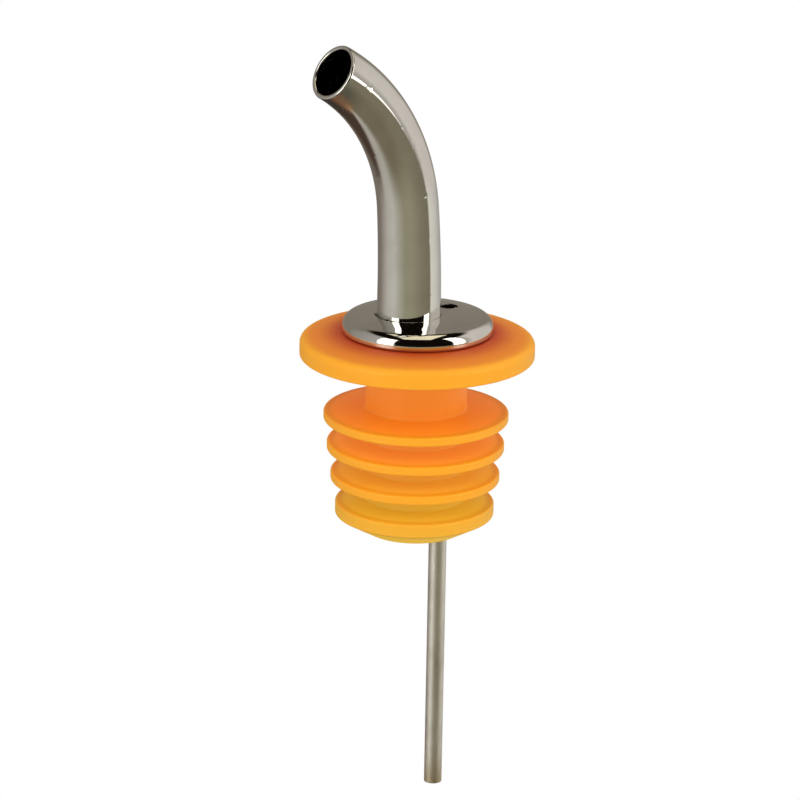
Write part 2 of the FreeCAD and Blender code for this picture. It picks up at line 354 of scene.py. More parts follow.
@dataclass(frozen=True)
class PolishedChrome(Finish):
    """Bright plate over polished metal, with faint wipe marks and a few dents of the buffing;
    painted shade darkens the vent hole and the underside by the mouth.
    """

    name: str = "polished_chrome"
    colour: Colour = (0.71, 0.70, 0.67)
    wiped: Colour = (0.64, 0.625, 0.59)
    cloud_size: float = 5.0
    wiped_span: Span = (0.4, 0.75)
    roughness: float = 0.045
    smear: float = 0.05
    smear_size: float = 0.6
    smear_span: Span = (0.35, 0.8)
    wave_size: float = 4.0
    wave_depth: float = 0.010
    dent_size: float = 1.5
    dent_span: Span = (0.66, 0.84)
    dent_depth: float = 0.010
    mouth_span: Span = (-11.5, -15.0)
    underside_span: Span = (0.0, -0.45)
    # Painted shade on the underside by the mouth, which dulls the reflection there.
    mouth_underside_shade: Colour = (0.32, 0.37, 0.40)
    underside_least: float = 0.7
    underside_spread: float = 0.5
    underside_roughness: float = 0.3
    pierced: Hole = VENT_HOLE
    pierced_share: float = 0.6
    pierced_ease: float = 0.02
    # Painted shade: near black in the vent hole.
    vent_hole_shade: Colour = (0.07, 0.055, 0.045)

    def shade(self, graph: Graph, place: Wire) -> Wire:
        """Draw the finish's shader.

        Args:
            graph: The material's node tree.
            place: The place on the piece, in Object coordinates.

        Returns:
            The shader.
        """
        cloud = graph.noise(place, self.cloud_size, detail=4.0)
        upward = graph.stretched(place, (1.0, 1.0, 0.35))
        fine = graph.noise(upward, self.smear_size, detail=3.0, rough=0.6)
        wave = graph.noise(place, self.wave_size, detail=1.0)
        dent = graph.step(graph.noise(place, self.dent_size, detail=0.0), *self.dent_span)
        height = wave * self.wave_depth - dent * self.dent_depth
        ragged = self.underside_least + cloud * self.underside_spread
        under = self._under_mouth(graph, place) * ragged
        smear = graph.step(cloud, *self.smear_span) * fine * self.smear
        plate = graph.mix(self.colour, self.wiped, graph.step(cloud, *self.wiped_span))
        # Painted shade: the underside by the mouth is darkened, dulling its reflection.
        plate = graph.mix(plate, self.mouth_underside_shade, under)
        # The vent hole is painted near black as its shade.
        return graph.node("ShaderNodeBsdfPrincipled", None, {
            "Base Color": graph.mix(plate, self.vent_hole_shade, self._vent_hole_mask(graph, place)),
            "Metallic": 1.0,
            "Roughness": smear + under * self.underside_roughness + self.roughness,
            "Normal": graph.bump(height, 1.0),
        })

    def _vent_hole_mask(self, graph: Graph, place: Wire) -> Wire:
        """Find the vent hole, which is painted near black as its shade.

        Args:
            graph: The material's node tree.
            place: The place on the piece.

        Returns:
            1 in the hole and 0 elsewhere.
        """
        across, along, _ = (part * PER_MM for part in graph.split(place))
        reach = across - self.pierced.across
        radius = (reach * reach + along * along) ** 0.5
        edge = self.pierced.radius + self.pierced.rounding * self.pierced_share
        return graph.step(radius, edge + self.pierced_ease, edge - self.pierced_ease)

    def _under_mouth(self, graph: Graph, place: Wire) -> Wire:
        """Find the underside close to the mouth, which gets painted shade and a rougher finish.

        Args:
            graph: The material's node tree.
            place: The place on the piece.

        Returns:
            1 on that underside and 0 elsewhere.
        """
        across = graph.split(place)[0] * PER_MM
        upward = graph.split(graph.node("ShaderNodeNewGeometry", output="Normal"))[2]
        near_mouth = graph.step(across, *self.mouth_span)
        return near_mouth * graph.step(upward, *self.underside_span)


@dataclass(frozen=True)
class PlatedBarrel(Finish):
    """Thin plate over drawn metal, with fine lines round it."""

    name: str = "plated_barrel"
    colour: Colour = (0.62, 0.60, 0.56)
    stained: Colour = (0.46, 0.42, 0.36)
    cloud_size: float = 4.0
    stained_span: Span = (0.45, 0.8)
    roughness: float = 0.2
    line_size: float = 0.9
    line_roughness: float = 0.12
    line_depth: float = 0.006

    def shade(self, graph: Graph, place: Wire) -> Wire:
        """Draw the finish's shader.

        Args:
            graph: The material's node tree.
            place: The place on the piece, in Object coordinates.

        Returns:
            The shader.
        """
        around = graph.stretched(place, (0.15, 0.15, 6.0))
        lines = graph.noise(around, self.line_size, detail=4.0)
        cloud = graph.noise(place, self.cloud_size, detail=4.0)
        stain = graph.step(cloud, *self.stained_span)
        return graph.node("ShaderNodeBsdfPrincipled", None, {
            "Base Color": graph.mix(self.colour, self.stained, stain),
            "Metallic": 1.0,
            "Roughness": self.roughness + lines * self.line_roughness,
            "Normal": graph.bump(lines, self.line_depth),
        })


@dataclass(frozen=True)
class DrawnTube(Finish):
    """Unpolished drawn tube: grey with lengthwise die lines, browned towards its cut end, and
    painted near black at its top as the shade inside the vent hole.
    """

    name: str = "drawn_tube"
    colour: Colour = (0.80, 0.78, 0.73)
    tarnish: Colour = (0.62, 0.59, 0.52)
    burnt: Colour = (0.46, 0.37, 0.21)
    cloud_size: float = 3.0
    tarnish_span: Span = (0.38, 0.7)
    # Painted shade: near black at the tube's top, where it shows through the vent hole.
    inside: Colour = (0.05, 0.04, 0.03)
    vent_top_shade_span: Span = (4.6, 4.9)
    roughness: float = 0.37
    line_size: float = 0.28
    line_roughness: float = 0.12
    line_depth: float = 0.01
    end_height: float = 0.0
    end_length: float = 0.6
    browned_length: float = 7.0
    browned_share: float = 0.75
    browned_roughness: float = 0.12
    browned_wander: float = 1.6

    def shade(self, graph: Graph, place: Wire) -> Wire:
        """Draw the finish's shader.

        Args:
            graph: The material's node tree.
            place: The place on the piece, in Object coordinates.

        Returns:
            The shader.
        """
        height = graph.split(place)[2] * PER_MM
        along = graph.stretched(place, (1.0, 1.0, 0.02))
        lines = graph.noise(along, self.line_size, detail=3.0, rough=0.6)
        cloud = graph.noise(graph.stretched(place, (1.0, 1.0, 0.4)), self.cloud_size, detail=4.0)
        top = self.end_height + self.browned_length
        foot = self.end_height + self.end_length
        end = graph.step(height + cloud * self.browned_wander, top, foot)
        metal = graph.mix(self.colour, self.tarnish, graph.step(cloud, *self.tarnish_span))
        metal = graph.mix(metal, self.burnt, end * self.browned_share)
        # Painted shade: the top of the tube turns near black inside the vent hole.
        vent_top_shade = graph.step(height, *self.vent_top_shade_span)
        rough = self.roughness + lines * self.line_roughness + end * self.browned_roughness
        return graph.node("ShaderNodeBsdfPrincipled", None, {
            "Base Color": graph.mix(metal, self.inside, vent_top_shade),
            "Metallic": 1.0,
            "Roughness": rough,
            "Normal": graph.bump(lines, self.line_depth),
        })


@dataclass(frozen=True)
class Solder(Finish):
    """Dull soft solder with a frosted, slightly lumpy skin."""

    name: str = "soft_solder"
    colour: Colour = (0.60, 0.60, 0.60)
    flux: Colour = (0.34, 0.28, 0.18)
    flux_span: Span = (0.55, 0.75)
    lump_size: float = 1.1
    lump_depth: float = 0.035
    frost_size: float = 0.25
    frost_depth: float = 0.015
    metallic: float = 0.9
    roughness: float = 0.32
    frost_roughness: float = 0.2

    def shade(self, graph: Graph, place: Wire) -> Wire:
        """Draw the finish's shader.

        Args:
            graph: The material's node tree.
            place: The place on the piece, in Object coordinates.

        Returns:
            The shader.
        """
        lump = graph.noise(place, self.lump_size, detail=4.0, rough=0.6)
        frost = graph.noise(place, self.frost_size, detail=3.0, rough=0.6)
        height = lump * self.lump_depth + frost * self.frost_depth
        return graph.node("ShaderNodeBsdfPrincipled", None, {
            "Base Color": graph.mix(self.colour, self.flux, graph.step(lump, *self.flux_span)),
            "Metallic": self.metallic,
            "Roughness": self.roughness + frost * self.frost_roughness,
            "Normal": graph.bump(height, 1.0),
        })


@dataclass(frozen=True)
class OrangePlastic(Finish):
    """Moulded polyethylene that light comes through, with light and shade painted into its colour:
    painted glow, yellow on the thin rims and lower fins and as emission in the grooves, and painted
    shade, redder next to the collar.
    """

    name: str = "orange_polyethylene"
    flange: Colour = (0.77, 0.21, 0.008)
    fins: Colour = (0.76, 0.255, 0.020)
    # Painted light: the lower fins are yellower, as if more light reached and passed through them.
    low_fins_light: Colour = (0.66, 0.37, 0.022)
    # Painted glow: yellow on the thin rims, as if light shone through them.
    rim: Colour = (0.86, 0.365, 0.010)
    low_rim_glow: Colour = (0.80, 0.40, 0.020)
    # Painted shade: dark red on the flange next to the collar.
    collar_shade: Colour = (0.46, 0.030, 0.005)
    # Painted glow, given as emission in the grooves.
    light_through: Colour = (0.205, 0.102, 0.015)
    neck_light: Colour = (0.21, 0.06, 0.002)
    low_light: Colour = (0.20, 0.13, 0.010)
    low_span: Span = (-11.5, -19.5)
    low_rim_glow_span: Span = (-17.0, -23.0)
    fins_span: Span = (0.5, -1.0)
    groove_span: Span = (-0.2, -0.8)
    groove_rim: float = 0.75
    neck_span: Span = (-7.4, -9.5)
    seat_span: Span = (1.0, 2.4)
    collar_shade_span: Span = (14.3, 10.2)
    collar_shade_least: float = 0.76
    collar_shade_spread: float = 0.26
    rim_glow_least: float = 0.86
    rim_glow_spread: float = 0.28
    cloud_size: float = 6.0
    cloud_roughness: float = 0.12
    cloud_depth: float = 0.03
    fine_size: float = 0.35
    fine_roughness: float = 0.06
    fine_depth: float = 0.004
    roughness: float = 0.34
    gloss: float = 0.3
    index: float = 1.5
    inner_glow: float = 0.35
    glow_radius: Colour = (1.0, 0.45, 0.12)
    glow_depth: float = 1.2
    parting_width: float = 0.09
    parting_span: Span = (1.9, 1.2)
    parting_depth: float = 0.03

    def shade(self, graph: Graph, place: Wire) -> Wire:
        """Draw the finish's shader.

        Args:
            graph: The material's node tree.
            place: The place on the piece, in Object coordinates.

        Returns:
            The shader.
        """
        across, along, height = (part * PER_MM for part in graph.split(place))
        radius = (across * across + along * along) ** 0.5
        rim = graph.node("ShaderNodeAttribute", {"attribute_name": RIM}, output="Fac")
        cloud = graph.noise(place, self.cloud_size, detail=3.0)
        fine = graph.noise(place, self.fine_size, detail=3.0, rough=0.6)
        lower = graph.step(height, *self.low_span)
        # Painted shade: the flange darkens to red next to the collar.
        near_collar = graph.step(radius, *self.collar_shade_span) * graph.step(height, *self.seat_span)
        collar_shade = near_collar * (self.collar_shade_least + cloud * self.collar_shade_spread)
        # Painted light: lower down, the fins turn yellower.
        body = graph.mix(self.flange, self.fins, graph.step(height, *self.fins_span))
        body = graph.mix(body, self.low_fins_light, lower)
        body = graph.mix(body, self.collar_shade, collar_shade)
        # Painted glow: the thin rims turn yellow, as if light shone through them.
        edge = graph.mix(self.rim, self.low_rim_glow, graph.step(height, *self.low_rim_glow_span))
        glow = rim * (self.rim_glow_least + cloud * self.rim_glow_spread)
        # Painted glow: emission in the grooves stands in for light through the plastic.
        through = graph.step(height, *self.neck_span)
        through = graph.mix(self.neck_light, self.light_through, through)
        through = graph.mix(through, self.low_light, lower)
        groove_glow = 1.0 - graph.step(rim, 0.0, self.groove_rim)
        groove_glow = groove_glow * graph.step(height, *self.groove_span)
        parting = graph.step(self._from_parting(graph, across), self.parting_width, 0.0)
        parting = parting * graph.step(height, *self.parting_span)
        relief = cloud * self.cloud_depth + fine * self.fine_depth + parting * self.parting_depth
        rough = self.roughness + cloud * self.cloud_roughness + fine * self.fine_roughness
        return graph.node("ShaderNodeBsdfPrincipled", None, {
            "Base Color": graph.mix(body, edge, glow),
            "Roughness": rough,
            "IOR": self.index,
            "Specular IOR Level": self.gloss,
            "Subsurface Weight": self.inner_glow,
            "Subsurface Radius": self.glow_radius,
            "Subsurface Scale": self.glow_depth * MM,
            "Emission Color": graph.mix((0.0, 0.0, 0.0), through, groove_glow),
            "Emission Strength": 1.0,
            "Normal": graph.bump(relief, 1.0),
        })

    @staticmethod
    def _from_parting(graph: Graph, across: Wire) -> Wire:
        """Return the distance from the plane in which the mould's halves met."""
        return graph.node("ShaderNodeMath", {"operation": "ABSOLUTE"}, {0: across})


# ---------------------------------------------------------------- outlines and centre lines


@dataclass(frozen=True)
class Corner:
    """A corner of an outline: its radius, its height and its rounding, all in millimetres."""

    radius: float
    height: float
    rounding: float = 0.0


@dataclass
class Outline:
    """The outline of a turned piece, as points that give radius and height in millimetres."""

    points: list[Point2]
    closed: bool = True

    @classmethod
    def rounded(cls, corners: list[Corner], step: float, closed: bool = True) -> "Outline":
        """Round the corners of a polygon and divide its straight runs.

        Args:
            corners: The polygon's corners in order.
            step: The longest distance between points on a straight run.
            closed: True if the last corner joins the first.

        Returns:
            The outline.
        """
        arcs = [cls._arc(corners, index, closed) for index in range(len(corners))]
        points: list[Point2] = []
        for index, arc in enumerate(arcs):
            points += arc
            following = arcs[(index + 1) % len(arcs)][0]
            if closed or index + 1 < len(arcs):
                points += cls._run(arc[-1], following, step)
        return cls(points, closed)

    @staticmethod
    def _run(start: Point2, finish: Point2, step: float) -> list[Point2]:
        """Divide a straight run.

        Args:
            start: Its first end.
            finish: Its other end.
            step: The longest distance between its points.

        Returns:
            The points between the ends, with one close to each of them.
        """
        length = math.dist(start, finish)
        hold = min(RUN_HOLD, length / 4)
        count = max(1, math.ceil((length - 2 * hold) / step))
        places = [hold + (length - 2 * hold) * index / count for index in range(count + 1)]
        return [
            (
                start[0] + (finish[0] - start[0]) * place / length,
                start[1] + (finish[1] - start[1]) * place / length,
            )
            for place in places
            if length > NO_LENGTH
        ]

    @staticmethod
    def _arc(corners: list[Corner], index: int, closed: bool) -> list[Point2]:
        """Round one corner.

        Args:
            corners: All the corners.
            index: The number of the one to round.
            closed: True if the last corner joins the first.

        Returns:
            The points of the arc, or the corner itself where it is sharp.
        """
        corner = corners[index]
        here = Vector((corner.radius, corner.height))
        at_end = not closed and index in (0, len(corners) - 1)
        if at_end or corner.rounding <= 0:
            return [tuple(here)]
        before = corners[index - 1]
        after = corners[(index + 1) % len(corners)]
        back = (Vector((before.radius, before.height)) - here).normalized()
        on = (Vector((after.radius, after.height)) - here).normalized()
        half = back.angle(on) / 2
        reach = corner.rounding / math.tan(half)
        centre = here + (back + on).normalized() * (corner.rounding / math.sin(half))
        first = here + back * reach - centre
        turn = -first.angle_signed(here + on * reach - centre)
        count = max(LEAST_ARC_STEPS, math.ceil(abs(turn) / ARC_STEP))
        points = []
        for number in range(count + 1):
            arm = first.copy()
            arm.rotate(Matrix.Rotation(turn * number / count, 2))
            points.append(tuple(centre + arm))
        return points


@dataclass
class CentreLine:
    """A path in the XZ plane, in millimetres, drawn with runs and bends that follow on smoothly."""

    across: float
    height: float
    heading: float
    step: float = 0.08
    points: list[Point2] = field(default_factory=list)
    length: float = 0.0

    def __post_init__(self) -> None:
        """Start the path at its first point."""
        self.points.append((self.across, self.height))

    def run(self, distance: float) -> None:
        """Go straight on.

        Args:
            distance: How far to go.
        """
        count = max(1, math.ceil(distance / self.step))
        for _ in range(count):
            self.across += math.cos(self.heading) * distance / count
            self.height += math.sin(self.heading) * distance / count
            self.points.append((self.across, self.height))
        self.length += distance

    def bend(self, radius: float, turn: float) -> None:
        """Go round a bend.

        Args:
            radius: The radius of the bend.
            turn: The angle it turns through in radians, to the left where it is positive.
        """
        side = math.copysign(math.pi / 2, turn)
        centre_x = self.across + math.cos(self.heading + side) * radius
        centre_z = self.height + math.sin(self.heading + side) * radius
        count = max(2, math.ceil(abs(turn) * radius / self.step))
        start = self.heading - side
        for number in range(1, count + 1):
            angle = start + turn * number / count
            self.across = centre_x + math.cos(angle) * radius
            self.height = centre_z + math.sin(angle) * radius
            self.points.append((self.across, self.height))
        self.heading += turn
        self.length += abs(turn) * radius


def edge_chain(name: str, points: list[Point2], closed: bool) -> bpy.types.Object:
    """Make an object of plain edges in the XZ plane.

    Args:
        name: The object's name.
        points: Its points, in millimetres.
        closed: True if the last point joins the first.

    Returns:
        The object.
    """
    mesh = bpy.data.meshes.new(name)
    count = len(points)
    edges = [(index, index + 1) for index in range(count - 1)]
    if closed:
        edges.append((count - 1, 0))
    mesh.from_pydata([(across * MM, 0, height * MM) for across, height in points], edges, [])
    made = bpy.data.objects.new(name, mesh)
    bpy.context.scene.collection.objects.link(made)
    return made


# ---------------------------------------------------------------- geometry trees


class GeometryTree(Graph):
    """A geometry node tree whose inputs are named and set by their sockets' identifiers."""

    def __init__(self, name: str, inputs: dict[str, str]) -> None:
        """Make the tree with its inputs.

        Args:
            name: The tree's name.
            inputs: The type of each input socket, by the input's name.
        """
        tree = bpy.data.node_groups.new(name, "GeometryNodeTree")
        super().__init__(tree)
        tree.interface.new_socket("Geometry", in_out="INPUT", socket_type="NodeSocketGeometry")
        self.identifiers = {
            label: tree.interface.new_socket(label, in_out="INPUT", socket_type=kind).identifier
            for label, kind in inputs.items()
        }
        tree.interface.new_socket("Geometry", in_out="OUTPUT", socket_type="NodeSocketGeometry")
        self.given = self.node("NodeGroupInput", output="Geometry")

    def finish(self, geometry: Wire) -> None:
        """End the tree with its instances realized and its material set.

        Args:
            geometry: What the tree has made.
        """
        real = self.node("GeometryNodeRealizeInstances", None, {0: geometry})
        smooth = self.node("GeometryNodeSetShadeSmooth", None, {0: real})
        dressed = self.node(
            "GeometryNodeSetMaterial", None, {0: smooth, "Material": self.given.pick("Material")}
        )
        self.node("NodeGroupOutput", None, {0: dressed})

    def apply(self, name: str, carrier: bpy.types.Object, **inputs: object) -> bpy.types.Object:
        """Run the tree on an object and keep the result as a plain mesh object.

        Args:
            name: The new object's name.
            carrier: The object that carries the tree; it is removed afterwards.
            inputs: The tree's inputs, with underscores for spaces.

        Returns:
            The new object.
        """
        modifier = carrier.modifiers.new(self.tree.name, "NODES")
        modifier.node_group = self.tree
        for key, value in inputs.items():
            modifier[self.identifiers[key.replace("_", " ")]] = value
        depsgraph = bpy.context.evaluated_depsgraph_get()
        mesh = bpy.data.meshes.new_from_object(carrier.evaluated_get(depsgraph))
        carrier.modifiers.remove(modifier)
        bpy.data.objects.remove(carrier)
        mesh.name = name
        made = bpy.data.objects.new(name, mesh)
        bpy.context.scene.collection.objects.link(made)
        return made


class TurningTree(GeometryTree):
    """Turns an outline about the Z axis, as a lathe does."""

    def __init__(self) -> None:
        """Draw the tree."""
        super().__init__("Turn", {
            "Points": "NodeSocketInt",
            "Rows": "NodeSocketInt",
            "Segments": "NodeSocketInt",
            "Centre": "NodeSocketVector",
            "Material": "NodeSocketMaterial",
        })
        rows, segments = self.given.pick("Rows"), self.given.pick("Segments")
        columns = segments + 1
        grid = self.node(
            "GeometryNodeMeshGrid", None, {"Vertices X": rows + 1, "Vertices Y": columns}
        )
        index = self.node("GeometryNodeInputIndex")
        row = self.node("ShaderNodeMath", {"operation": "FLOOR"}, {0: (index + 0.5) / columns})
        column = index - row * columns
        points = self.given.pick("Points")
        wrapped = self.node("ShaderNodeMath", {"operation": "MODULO"}, {0: row, 1: points})
        place = self._sample("FLOAT_VECTOR", self.node("GeometryNodeInputPosition"), wrapped)
        attribute = self.node(
            "GeometryNodeInputNamedAttribute", {"data_type": "FLOAT"}, {"Name": RIM}
        )
        rim = self._sample("FLOAT", attribute, wrapped)
        turned = self.node("ShaderNodeVectorRotate", {"rotation_type": "Z_AXIS"}, {
            "Vector": place,
            "Angle": column / segments * math.tau,
        })
        moved = self.node(
            "ShaderNodeVectorMath", {"operation": "ADD"}, {0: turned, 1: self.given.pick("Centre")}
        )
        skin = self.node("GeometryNodeSetPosition", None, {0: grid, "Position": moved})
        skin = self.node("GeometryNodeStoreNamedAttribute", {"data_type": "FLOAT"}, {
            0: skin, "Name": RIM, "Value": rim,
        })
        self.finish(self.node("GeometryNodeMergeByDistance", None, {
            0: skin, "Distance": MERGE_DISTANCE,
        }))

    def _sample(self, kind: str, value: Wire, index: Wire) -> Wire:
        """Read a value from a point of the outline.

        Args:
            kind: The value's data type.
            value: The value.
            index: The point's number.

        Returns:
            The value at that point.
        """
        return self.node("GeometryNodeSampleIndex", {"data_type": kind}, {
            "Geometry": self.given.pick("Geometry"), "Value": value, "Index": index,
        })


class BendingTree(GeometryTree):
    """Bends a straight tube that stands on the origin so that its axis follows a centre line."""

    def __init__(self) -> None:
        """Draw the tree."""
        super().__init__("Bend", {
            "Centre Line": "NodeSocketObject",
            "Material": "NodeSocketMaterial",
        })
        chain = self.node(
            "GeometryNodeObjectInfo", None, {"Object": self.given.pick("Centre Line")},
            output="Geometry",
        )
        line = self.node("GeometryNodeMeshToCurve", None, {0: chain})
        across, along, station = self.split(self.node("GeometryNodeInputPosition"))
        sample = self.node("GeometryNodeSampleCurve", {"mode": "LENGTH"}, {
            "Curves": line, "Length": station,
        }, output="Position")
        upright = self.node("ShaderNodeCombineXYZ", None, {"Y": 1.0})
        outward = self.node("ShaderNodeVectorMath", {"operation": "CROSS_PRODUCT"}, {
            0: upright, 1: sample.pick("Tangent"),
        })
        place = sample
        for direction, distance in ((outward, across), (upright, along)):
            arm = self.node(
                "ShaderNodeVectorMath", {"operation": "SCALE"}, {0: direction, "Scale": distance}
            )
            place = self.node("ShaderNodeVectorMath", {"operation": "ADD"}, {0: place, 1: arm})
        self.finish(self.node("GeometryNodeSetPosition", None, {
            0: self.given.pick("Geometry"), "Position": place,
        }))


@dataclass
class Workshop:
    """The two machines that make the round pieces: a lathe and a tube bender."""

    lathe: TurningTree = field(default_factory=TurningTree)
    bender: BendingTree = field(default_factory=BendingTree)

    def turn(
        self,
        name: str,
        outline: Outline,
        finish: Finish,
        segments: int = 144,
        centre: Point2 = (0.0, 0.0),
        rims: list[float] | None = None,
    ) -> bpy.types.Object:
        """Turn an outline about an upright axis.

        Args:
            name: The piece's name.
            outline: The outline to turn.
            finish: The finish it gets.
            segments: How many faces go round it.
            centre: Where the axis stands, in millimetres.
            rims: How near a free edge each of the outline's points is, from 0 to 1.

        Returns:
            The piece.
        """
        chain = edge_chain(name + "_outline", outline.points, outline.closed)
        values = chain.data.attributes.new(RIM, "FLOAT", "POINT")
        values.data.foreach_set("value", rims or [0.0] * len(outline.points))
        points = len(outline.points)
        rows = points if outline.closed else points - 1
        piece = self.lathe.apply(
            name, chain, Points=points, Rows=rows, Segments=segments,
            Centre=(centre[0] * MM, centre[1] * MM, 0.0), Material=finish.material(),
        )
        if rims is None:
            piece.data.attributes.remove(piece.data.attributes[RIM])
        face_outwards(piece)
        return piece

    def bend(
        self, name: str, tube: bpy.types.Object, line: CentreLine, finish: Finish
    ) -> bpy.types.Object:
        """Bend a straight tube along a centre line.

        Args:
            name: The piece's name.
            tube: The straight tube, which is used up.
            line: The centre line.
            finish: The finish it gets.

        Returns:
            The piece.
        """
        guide = edge_chain(name + "_line", line.points, closed=False)
        piece = self.bender.apply(name, tube, Centre_Line=guide, Material=finish.material())
        bpy.data.objects.remove(guide)
        face_outwards(piece)
        return piece


def face_outwards(piece: bpy.types.Object) -> None:
    """Turn a closed or nearly closed mesh's faces outwards if they point inwards.

    Args:
        piece: The piece with that mesh.
    """
    mesh = bmesh.new()
    mesh.from_mesh(piece.data)
    if mesh.calc_volume(signed=True) < 0:
        bmesh.ops.reverse_faces(mesh, faces=mesh.faces)
        mesh.to_mesh(piece.data)
    mesh.free()


def keep(piece: bpy.types.Object, body: Rider, slot: Slot, *nodes: str) -> None:
    """Put a finished piece on its body in place of its CAD nodes and report it.

    Args:
        piece: The piece.
        body: The body it rides on.
        slot: The record's material slot that its finish stands for; not used.
        nodes: The CAD nodes that it replaces.
    """
    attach(piece, body.value)
    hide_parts(*nodes)
    LOG.info("%s: %d faces on %s", piece.name, len(piece.data.polygons), body.value)


def in_mm(node: str) -> tuple[Vector, Vector]:
    """Return a CAD node's lowest and highest corners in millimetres."""
    low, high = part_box(node)
    return low * PER_MM, high * PER_MM


# ---------------------------------------------------------------- the object


@dataclass
class Stopper:
    """The plastic moulding that plugs the bottle: flange, neck and fins."""

    flange_radius: float
    seat_height: float
    nose_depth: float
    flange_side: float = 2.55
    flange_rounds: Point2 = (0.95, 0.35)
    seat_radius: float = 10.7
    seat_round: float = 3.0
    neck_radius: float = 6.95
    neck_round: float = 0.5
    bore_radius: float = 5.86
    bore_mouth_round: float = 2.35
    fin_radii: tuple[float, ...] = (12.72, 12.22, 11.67, 10.97)
    fin_top: float = -7.8
    fin_pitch: float = 4.33
    fin_land: float = 1.24
    last_land: float = 1.75
    fin_rise: float = 0.55
    fin_round: float = 0.32
    root_round: float = 0.3
    nose_radius: float = 6.75
    nose_round: float = 0.45
    bore_foot_round: float = 0.2
    step: float = 0.35
    segments: int = 160
    glow_reach: float = 1.0
    glow_margin: float = 0.3
    finish: Finish = OrangePlastic()

    @classmethod
    def from_frame(cls) -> "Stopper":
        """Take the overall sizes from the CAD node."""
        low, high = in_mm("stopper")
        return cls(flange_radius=high.x, seat_height=high.z, nose_depth=-low.z)

    def outline(self) -> Outline:
        """Draw the outline.

        Returns:
            The outline, from the bore's mouth round the outside and back up the bore.
        """
        corners = [
            Corner(self.bore_radius, self.seat_height, self.bore_mouth_round),
            Corner(self.seat_radius, self.seat_height, self.seat_round),
            Corner(self.flange_radius, self.flange_side, self.flange_rounds[0]),
            Corner(self.flange_radius, 0.0, self.flange_rounds[1]),
            Corner(self.neck_radius, 0.0, self.neck_round),
        ]
        for number, radius in enumerate(self.fin_radii):
            last = number == len(self.fin_radii) - 1
            top = self.fin_top - self.fin_pitch * number
            foot = top - (self.last_land if last else self.fin_land)
            corners += [
                Corner(self.neck_radius, top + self.fin_rise, self.root_round),
                Corner(radius, top, self.fin_round),
                Corner(radius, foot, self.fin_round),
            ]
            if not last:
                corners.append(Corner(self.neck_radius, foot, self.root_round))
        corners += [
            Corner(self.nose_radius, -self.nose_depth, self.nose_round),
            Corner(self.bore_radius, -self.nose_depth, self.bore_foot_round),
        ]
        return Outline.rounded(corners, self.step)

    def rim_share(self, point: Point2) -> float:
        """Say how near a free edge a point of the outline is.

        Args:
            point: The point.

        Returns:
            1 at a free edge, falling to 0 away from it.
        """
        radius, height = point
        edges = [(self.flange_radius, self.flange_side / 2, self.flange_side)]
        for number, tip in enumerate(self.fin_radii):
            middle = self.fin_top - self.fin_pitch * number - self.fin_land / 2
            edges.append((tip, middle, self.fin_pitch))
        share = 0.0
        for tip, middle, band in edges:
            if abs(height - middle) < band / 2 + self.glow_margin:
                share = max(share, math.exp(-(((tip - radius) / self.glow_reach) ** 2)))
        return share

    def build(self, shop: Workshop) -> None:
        """Build the stopper and put it on its body.

        Args:
            shop: The machines that make it.
        """
        outline = self.outline()
        # The rim shares place the plastic's painted glow on its free edges.
        rims = [self.rim_share(point) for point in outline.points]
        piece = shop.turn("stopper_moulding", outline, self.finish, self.segments, rims=rims)
        keep(piece, Rider.STOPPER, Slot.PLASTIC, "stopper")


